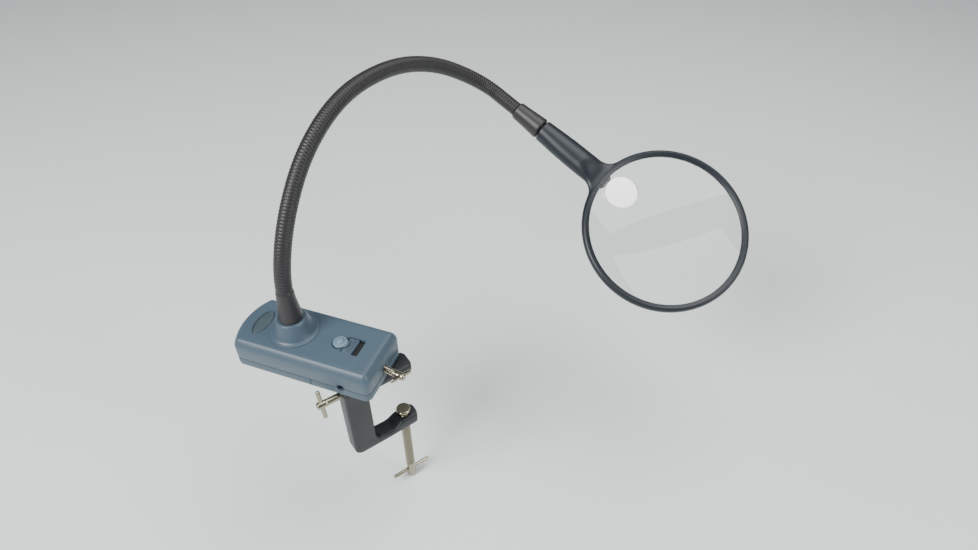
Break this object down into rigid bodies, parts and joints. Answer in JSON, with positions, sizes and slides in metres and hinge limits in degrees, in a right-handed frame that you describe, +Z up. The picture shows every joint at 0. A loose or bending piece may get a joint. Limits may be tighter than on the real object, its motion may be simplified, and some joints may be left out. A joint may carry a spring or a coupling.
{
  "type": "low vision magnifier",
  "caption": "Clamp-on magnifier: a table clamp carries a swivelling battery housing, and a gooseneck rises from it to a handled, illuminated round lens with a stronger spot lens.",
  "frame": {"origin": "centre of the jaw pad's flat underside, where it rests on the table top, on the axis of the clamp screw", "axes": "+Z up, square to the table top; +X along the housing's length towards its lock screw; +Y across the housing, away from the side with the power inlet"},
  "size_m": [0.2979, 0.2414, 0.2777],
  "materials": {
    "shell_plastic": "satin moulded plastic, blue grey",
    "clamp_casting": "satin dark slate coating on a casting",
    "nickel": "bright nickel plate",
    "pad_rubber": "plain rubber pad",
    "neck_sleeve": "finely ribbed dark sleeve",
    "collar_plastic": "satin moulded plastic, near black",
    "frame_plastic": "half gloss moulded plastic, blue black",
    "inner_plastic": "plain moulded plastic",
    "badge_plastic": "plain oval inlay without any mark",
    "socket_plastic": "black moulded plastic",
    "brass": "turned brass",
    "steel": "plain steel",
    "board": "lacquered circuit board",
    "cell_case": "printed cell case, shown plain",
    "lead_insulation": "insulated lead",
    "lens_glass": "clear polished lens",
    "spot_glass": "thick clear insert of higher power",
    "lamp_clear": "clear lamp capsule"
  },
  "bodies": {
    "clamp": {"clamp_frame": "clamp_casting", "jaw_pad": "pad_rubber"},
    "post": {"swivel_post": "nickel"},
    "post_lock_press": {"post_lock_tip": "brass"},
    "post_lock": {"post_lock_screw": "nickel"},
    "post_lock_handle": {"post_lock_bar": "nickel"},
    "foot": {"pressure_foot": "nickel"},
    "screw": {"clamp_screw": "nickel"},
    "screw_handle": {"clamp_screw_bar": "nickel"},
    "housing": {"top_cover": "shell_plastic", "bottom_cover": "shell_plastic", "cover_screw_1": "steel", "cover_screw_2": "steel", "battery_tray": "inner_plastic", "battery_cell_1": "cell_case", "battery_cell_2": "cell_case", "battery_cell_3": "cell_case", "contact_spring_1": "steel", "contact_spring_2": "steel", "contact_spring_3": "steel", "contact_plate_1": "steel", "contact_plate_2": "steel", "circuit_board": "board", "switch_body": "steel", "dc_socket": "socket_plastic", "badge": "badge_plastic", "post_bush": "brass", "base_lead": "lead_insulation", "neck_gland_nut": "brass", "neck_base_collar": "collar_plastic"},
    "door": {"battery_door": "shell_plastic"},
    "knob": {"switch_knob": "shell_plastic"},
    "housing_lock_press": {"housing_lock_tip": "brass"},
    "housing_lock": {"housing_lock_screw": "nickel"},
    "housing_lock_handle": {"housing_lock_bar": "nickel"},
    "link_1": {"neck_sleeve_1": "neck_sleeve", "neck_conduit_1": "steel"},
    "link_2": {"neck_sleeve_2": "neck_sleeve", "neck_conduit_2": "steel"},
    "link_3": {"neck_sleeve_3": "neck_sleeve", "neck_conduit_3": "steel"},
    "link_4": {"neck_sleeve_4": "neck_sleeve", "neck_conduit_4": "steel"},
    "link_5": {"neck_sleeve_5": "neck_sleeve", "neck_conduit_5": "steel"},
    "link_6": {"neck_sleeve_6": "neck_sleeve", "neck_conduit_6": "steel"},
    "link_7": {"neck_sleeve_7": "neck_sleeve", "neck_conduit_7": "steel"},
    "neck_end": {"neck_head_collar": "collar_plastic"},
    "lens": {"lens_frame": "frame_plastic", "handle_cover": "frame_plastic", "handle_screw_1": "steel", "handle_screw_2": "steel", "main_lens": "lens_glass", "spot_lens": "spot_glass", "lamp_hood": "frame_plastic", "lamp_bulb": "lamp_clear", "lamp_board": "board", "twist_spigot": "nickel"}
  },
  "joints": [
    {"name": "post_swivel", "type": "hinge", "parent": "clamp", "child": "post", "pos_m": [-0.00878, -0.01253, 0.01], "axis": [0, 0, 1], "range_deg": [-240, 10]},
    {"name": "post_lock_travel", "type": "slide", "parent": "clamp", "child": "post_lock_press", "axis": [-0.5736, -0.8192, 0], "range_m": [0, 0.0015]},
    {"name": "post_lock_turn", "type": "hinge", "parent": "post_lock_press", "child": "post_lock", "pos_m": [-0.00878, -0.01253, 0.0032], "axis": [-0.5736, -0.8192, 0], "range_deg": [0, 720]},
    {"name": "post_lock_bar_slide", "type": "slide", "parent": "post_lock", "child": "post_lock_handle", "axis": [-0.212, 0.1485, 0.9659], "range_m": [-0.0065, 0.0065]},
    {"name": "foot_travel", "type": "slide", "parent": "clamp", "child": "foot", "axis": [0, 0, 1], "range_m": [-0.0025, 0.0395]},
    {"name": "clamp_screw_turn", "type": "hinge", "parent": "foot", "child": "screw", "pos_m": [0, 0, -0.08], "axis": [0, 0, 1], "range_deg": [-700, 11190]},
    {"name": "clamp_screw_bar_slide", "type": "slide", "parent": "screw", "child": "screw_handle", "axis": [0.5736, 0.8192, 0], "range_m": [-0.0105, 0.0105]},
    {"name": "housing_lift", "type": "slide", "parent": "post", "child": "housing", "axis": [0, 0, 1], "range_m": [0, 0.015]},
    {"name": "housing_lock_travel", "type": "slide", "parent": "housing", "child": "housing_lock_press", "axis": [0.9863, -0.165, 0], "range_m": [0, 0.0015]},
    {"name": "housing_lock_turn", "type": "hinge", "parent": "housing_lock_press", "child": "housing_lock", "pos_m": [-0.00878, -0.01253, 0.0163], "axis": [0.9863, -0.165, 0], "range_deg": [0, 720]},
    {"name": "housing_lock_bar_slide", "type": "slide", "parent": "housing_lock", "child": "housing_lock_handle", "axis": [0.1471, 0.8788, -0.454], "range_m": [-0.0065, 0.004]},
    {"name": "battery_door_slide", "type": "slide", "parent": "housing", "child": "door", "axis": [-1, 0, 0], "range_m": [0, 0.012]},
    {"name": "lamp_switch", "type": "slide", "parent": "housing", "child": "knob", "axis": [1, 0, 0], "range_m": [0, 0.0041]},
    {"name": "neck_bend_1", "type": "hinge", "parent": "housing", "child": "link_1", "pos_m": [-0.06138, -0.01153, 0.0742], "axis": [-0.9982, 0.0601, 0.0079], "range_deg": [-30, 10]},
    {"name": "neck_sway_1", "type": "hinge", "parent": "link_1", "child": "link_2", "pos_m": [-0.06018, 0.00407, 0.1072], "axis": [-0.1102, -0.8167, 0.5664], "range_deg": [-20, 20]},
    {"name": "neck_bend_2", "type": "hinge", "parent": "link_2", "child": "link_3", "pos_m": [-0.05768, 0.02937, 0.1339], "axis": [-0.9809, 0.1783, -0.0771], "range_deg": [-30, 10]},
    {"name": "neck_sway_2", "type": "hinge", "parent": "link_3", "child": "link_4", "pos_m": [-0.05298, 0.06197, 0.1495], "axis": [-0.1656, -0.2244, 0.9603], "range_deg": [-20, 20]},
    {"name": "neck_bend_3", "type": "hinge", "parent": "link_4", "child": "link_5", "pos_m": [-0.04598, 0.09777, 0.1519], "axis": [-0.9261, 0.2024, -0.3183], "range_deg": [-30, 10]},
    {"name": "neck_sway_3", "type": "hinge", "parent": "link_5", "child": "link_6", "pos_m": [-0.03608, 0.13237, 0.1451], "axis": [-0.471, 0.4434, 0.7626], "range_deg": [-20, 20]},
    {"name": "neck_bend_4", "type": "hinge", "parent": "link_6", "child": "link_7", "pos_m": [-0.02098, 0.16217, 0.1299], "axis": [-0.5912, -0.1081, -0.7993], "range_deg": [-30, 10]},
    {"name": "neck_sway_4", "type": "hinge", "parent": "link_7", "child": "neck_end", "pos_m": [0.00432, 0.17907, 0.1089], "axis": [0.0507, 0.9155, -0.3991], "range_deg": [-20, 20]},
    {"name": "head_twist", "type": "hinge", "parent": "neck_end", "child": "lens", "pos_m": [0.04097, 0.16975, 0.09222], "axis": [0.8863, -0.2255, -0.4046], "range_deg": [-60, 60]}
  ],
  "couplings": [
    {"joint": "foot_travel", "follows": "clamp_screw_turn", "m_per_rad": 0.00020213},
    {"joint": "post_lock_travel", "follows": "post_lock_turn", "m_per_rad": 0.00011141},
    {"joint": "housing_lock_travel", "follows": "housing_lock_turn", "m_per_rad": 0.00011141}
  ]
}
